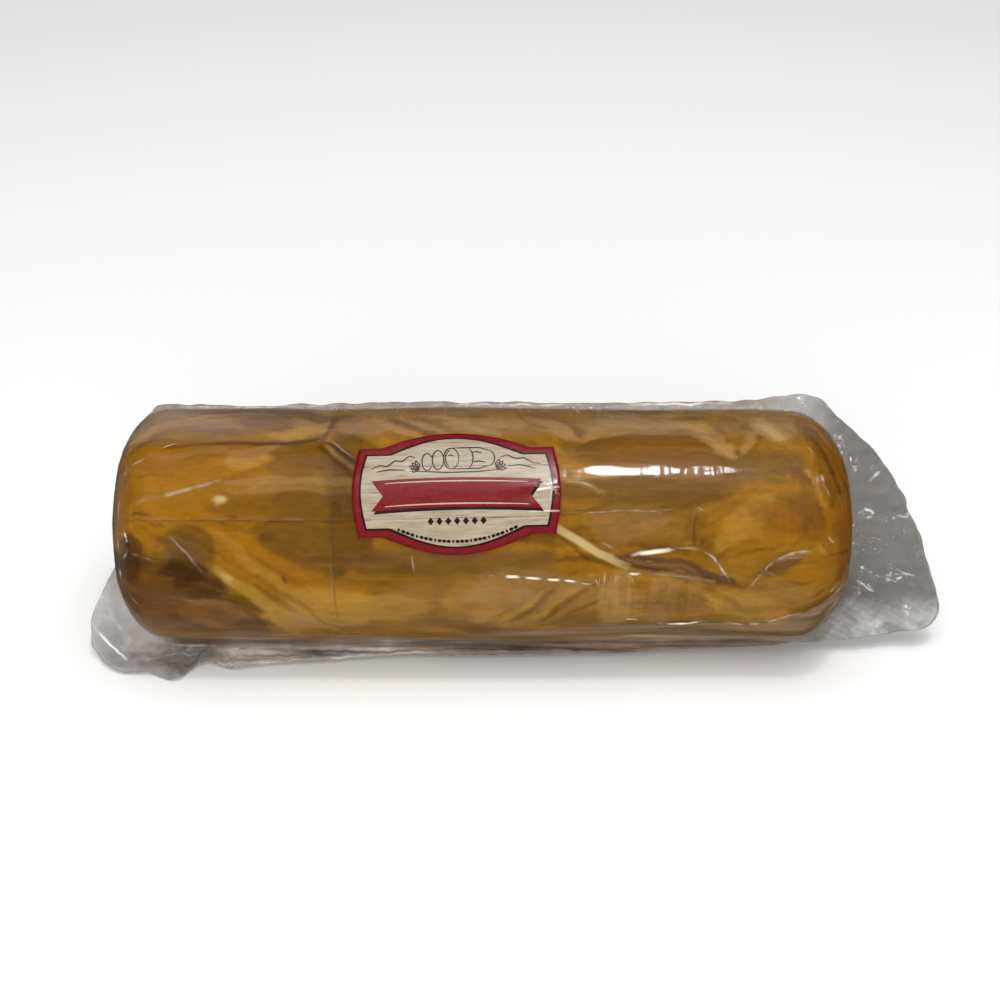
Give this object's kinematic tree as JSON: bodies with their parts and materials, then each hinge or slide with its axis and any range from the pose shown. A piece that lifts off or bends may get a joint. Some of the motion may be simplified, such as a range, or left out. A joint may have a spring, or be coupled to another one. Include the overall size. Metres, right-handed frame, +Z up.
{
  "type": "vacuum-packed smoked mozzarella log",
  "caption": "Smoked mozzarella log shrunk into a clear vacuum bag with spare film at its ends, with a paper label on its front.",
  "frame": {"origin": "middle of the pack's footprint, on the surface that it lies on", "axes": "+X along the log towards the bag's longer tail, -Y towards the front that carries the label, +Z up"},
  "size_m": [0.3562, 0.0978, 0.0943],
  "materials": {
    "film_over_smoked_rind": "glossy clear film over amber and brown smoked cheese",
    "label_paper": "printed paper, cream with a red border, under the film's gloss"
  },
  "bodies": {
    "root": {"vacuum_bag": "film_over_smoked_rind", "label": "label_paper"}
  },
  "joints": []
}
